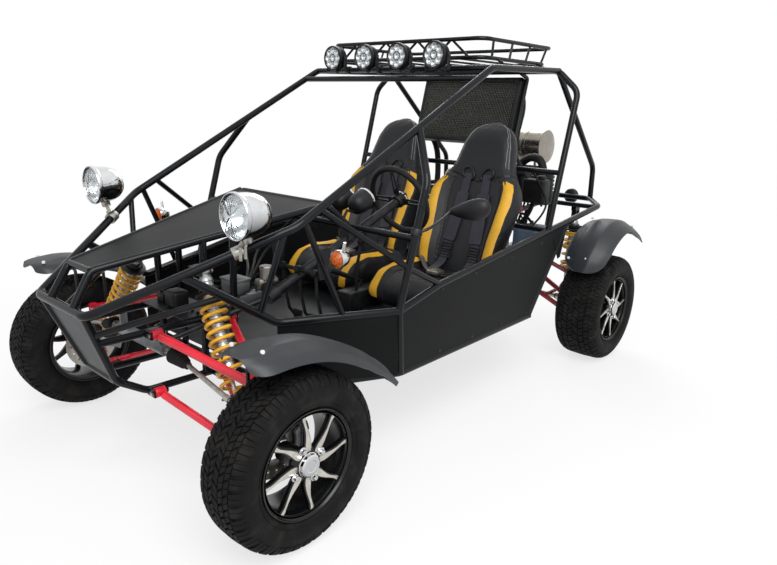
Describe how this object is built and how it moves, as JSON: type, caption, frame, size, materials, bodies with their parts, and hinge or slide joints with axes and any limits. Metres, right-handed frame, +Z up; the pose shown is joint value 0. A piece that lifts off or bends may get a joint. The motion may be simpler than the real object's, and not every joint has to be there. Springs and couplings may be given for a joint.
{
  "type": "dune buggy",
  "caption": "Open two-seat dune buggy: tubular frame, bucket seats, coil-sprung wheels that turn and steer, roof rack with lamps, rear engine",
  "frame": {"origin": "middle of the bounding box on the ground", "axes": "+X ahead, +Y to the left, +Z up"},
  "size_m": [3.0759, 1.84, 1.758],
  "materials": {
    "frame_paint": "gloss powder coat",
    "panel_black": "satin",
    "plate_grey": "satin",
    "seat_leatherette": "grained",
    "cast_aluminium": "as cast",
    "arm_red": "gloss",
    "arm_dark_red": "gloss",
    "damper_alloy": "machined",
    "spring_yellow": "gloss",
    "fender_plastic": "satin moulded",
    "steel": "plain",
    "exhaust_steel": "brushed",
    "radiator_black": "matt",
    "lamp_chrome": "polished",
    "lamp_black": "satin",
    "lens_clear": "clear fluted",
    "lens_amber": "tinted",
    "mirror_black": "moulded",
    "wheel_grip": "grained",
    "knuckle_black": "satin",
    "tyre_rubber": "matt",
    "rim_alloy": "machined and painted black"
  },
  "bodies": {
    "chassis": {"frame_hoop": "frame_paint", "frame_side_loop": "frame_paint", "frame_pillars": "frame_paint", "frame_posts": "frame_paint", "frame_nose": "frame_paint", "frame_rear": "frame_paint", "frame_braces": "frame_paint", "frame_cross_bars": "frame_paint", "frame_cowl_bar": "frame_paint", "frame_keel": "frame_paint", "frame_floor": "frame_paint", "floor_pan": "panel_black", "side_panels": "panel_black", "hood": "panel_black", "skid_plate": "plate_grey", "seats": "seat_leatherette", "steering_column": "frame_paint", "rack_housing": "cast_aluminium", "front_arms": "arm_red", "rear_arms": "arm_dark_red", "dampers": "damper_alloy", "springs": "spring_yellow", "rear_fenders": "fender_plastic", "rear_carriers": "cast_aluminium", "half_shafts": "steel", "engine": "cast_aluminium", "exhaust": "exhaust_steel", "radiator": "radiator_black", "lamp_shells": "lamp_chrome", "roof_lamps": "lamp_black", "lamp_lenses": "lens_clear", "indicator_lenses": "lens_amber", "mirror": "mirror_black", "roof_rack": "frame_paint"},
    "steering_wheel": {"steering_wheel": "wheel_grip"},
    "steering_rack": {"tie_rods": "steel"},
    "knuckle_left": {"knuckle_left": "knuckle_black", "fender_front_left": "fender_plastic"},
    "knuckle_right": {"knuckle_right": "knuckle_black", "fender_front_right": "fender_plastic"},
    "wheel_front_left": {"tyre_front_left": "tyre_rubber", "rim_front_left": "rim_alloy"},
    "wheel_front_right": {"tyre_front_right": "tyre_rubber", "rim_front_right": "rim_alloy"},
    "wheel_rear_left": {"tyre_rear_left": "tyre_rubber", "rim_rear_left": "rim_alloy"},
    "wheel_rear_right": {"tyre_rear_right": "tyre_rubber", "rim_rear_right": "rim_alloy"}
  },
  "joints": [
    {"name": "steer_left", "type": "hinge", "parent": "chassis", "child": "knuckle_left", "pos_m": [1.143, 0.63, 0.311], "axis": [0, 0, 1], "range_deg": [-25, 25]},
    {"name": "steer_right", "type": "hinge", "parent": "chassis", "child": "knuckle_right", "pos_m": [1.143, -0.63, 0.311], "axis": [0, 0, 1], "range_deg": [-25, 25]},
    {"name": "rack_slide", "type": "slide", "parent": "chassis", "child": "steering_rack", "axis": [0, 1, 0], "range_m": [-0.05, 0.05]},
    {"name": "steering_wheel_turn", "type": "hinge", "parent": "chassis", "child": "steering_wheel", "pos_m": [0.097, 0.32, 1.012], "axis": [-0.9272, 0, 0.3746], "range_deg": [-230, 230]},
    {"name": "wheel_front_left_spin", "type": "hinge", "parent": "knuckle_left", "child": "wheel_front_left", "pos_m": [1.143, 0.7775, 0.311], "axis": [0, 1, 0], "continuous": true},
    {"name": "wheel_front_right_spin", "type": "hinge", "parent": "knuckle_right", "child": "wheel_front_right", "pos_m": [1.143, -0.7775, 0.311], "axis": [0, 1, 0], "continuous": true},
    {"name": "wheel_rear_left_spin", "type": "hinge", "parent": "chassis", "child": "wheel_rear_left", "pos_m": [-1.227, 0.775, 0.311], "axis": [0, 1, 0], "continuous": true},
    {"name": "wheel_rear_right_spin", "type": "hinge", "parent": "chassis", "child": "wheel_rear_right", "pos_m": [-1.227, -0.775, 0.311], "axis": [0, 1, 0], "continuous": true}
  ],
  "couplings": [
    {"joint": "steer_right", "follows": "steer_left", "ratio": 1},
    {"joint": "rack_slide", "follows": "steer_left", "m_per_rad": 0.105},
    {"joint": "steering_wheel_turn", "follows": "steer_left", "ratio": 9}
  ]
}
